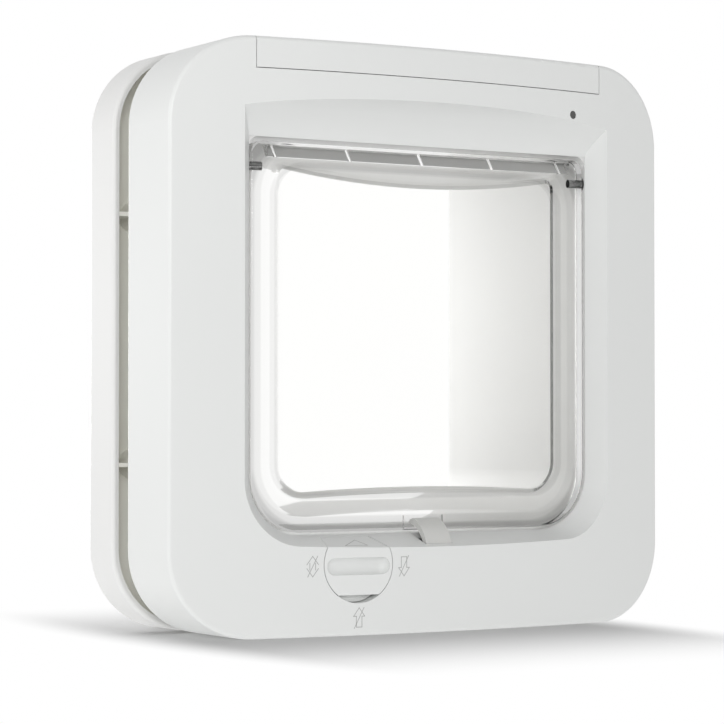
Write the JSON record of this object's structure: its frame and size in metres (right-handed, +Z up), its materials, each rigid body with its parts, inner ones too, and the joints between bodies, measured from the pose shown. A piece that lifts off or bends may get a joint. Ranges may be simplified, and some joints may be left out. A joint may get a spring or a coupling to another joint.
{
  "type": "cat flap",
  "caption": "Square pet door: a clear swinging flap in a crowned inner housing with a rotary lock, latch and battery cover, a tunnel and an outer frame.",
  "frame": {"origin": "under the middle of the bounding box, on the surface it stands on", "axes": "+X to the right as seen from indoors, +Y through the door towards the outdoors, +Z up"},
  "size_m": [0.21, 0.1076, 0.21],
  "materials": {
    "white_shell": "satin white moulding",
    "white_frame": "satin white moulding",
    "clear_flap": "clear, polished window and rim",
    "white_lock": "fine matt white moulding",
    "grey_latch": "satin grey moulding",
    "dark_lens": "dark smoked light pipe",
    "dark_bush": "dark grey acetal",
    "grey_tray": "grey moulding",
    "steel": "bright zinc plate",
    "cell_can": "plain wrapped cell",
    "nickel": "nickel plate",
    "board_green": "solder mask",
    "copper": "enamelled copper wire",
    "button": "moulded push button",
    "screw_cap": "white push-in cap"
  },
  "bodies": {
    "unit": {"front_housing": "white_shell", "rear_housing": "white_shell", "tunnel": "white_frame", "exterior_frame": "white_frame", "hinge_bush_left": "dark_bush", "hinge_bush_right": "dark_bush", "battery_tray": "grey_tray", "battery_cell_1": "cell_can", "battery_cell_2": "cell_can", "battery_cell_3": "cell_can", "battery_cell_4": "cell_can", "battery_contacts": "nickel", "latch_guide": "grey_tray", "latch_motor": "steel", "latch_spring": "steel", "circuit_board": "board_green", "led_lens": "dark_lens", "antenna_coil": "copper", "frame_screws": "steel", "housing_screws": "steel", "screw_caps": "screw_cap"},
    "swinging_flap": {"flap": "clear_flap", "hinge_pin_left": "steel", "hinge_pin_right": "steel"},
    "lock": {"lock_knob": "white_lock", "lock_cam": "grey_latch"},
    "inner_catch": {"inner_latch": "grey_latch"},
    "pinion": {"latch_pinion": "grey_latch"},
    "outer_catch": {"outer_latch": "grey_latch"},
    "cover": {"battery_cover": "white_shell"},
    "button": {"memory_button": "button"}
  },
  "joints": [
    {"name": "flap_hinge", "type": "hinge", "parent": "unit", "child": "swinging_flap", "pos_m": [0, -0.03705, 0.1655], "axis": [1, 0, 0], "range_deg": [0, 80]},
    {"name": "lock_turn", "type": "hinge", "parent": "unit", "child": "lock", "pos_m": [-0.0349, -0.04205, 0.0252], "axis": [0, -1, 0], "continuous": true},
    {"name": "pinion_turn", "type": "hinge", "parent": "unit", "child": "pinion", "pos_m": [0.0112, -0.0496, 0.017], "axis": [0, -1, 0], "continuous": true},
    {"name": "inner_latch_slide", "type": "slide", "parent": "unit", "child": "inner_catch", "axis": [0, 0, -1], "range_m": [0, 0.0076], "stiffness_N_per_m": 40, "springref_m": -0.004, "deforming": ["latch_spring"]},
    {"name": "outer_latch_slide", "type": "slide", "parent": "unit", "child": "outer_catch", "axis": [0, 0, 1], "range_m": [0, 0.0084]},
    {"name": "cover_lift", "type": "slide", "parent": "unit", "child": "cover", "axis": [0, 0, 1], "range_m": [0, 0.03]},
    {"name": "memory_press", "type": "slide", "parent": "unit", "child": "button", "axis": [0, 0, -1], "range_m": [0, 0.0006], "stiffness_N_per_m": 300, "springref_m": -0.0005}
  ],
  "couplings": [
    {"joint": "pinion_turn", "follows": "inner_latch_slide", "rad_per_m": 208.33}
  ]
}
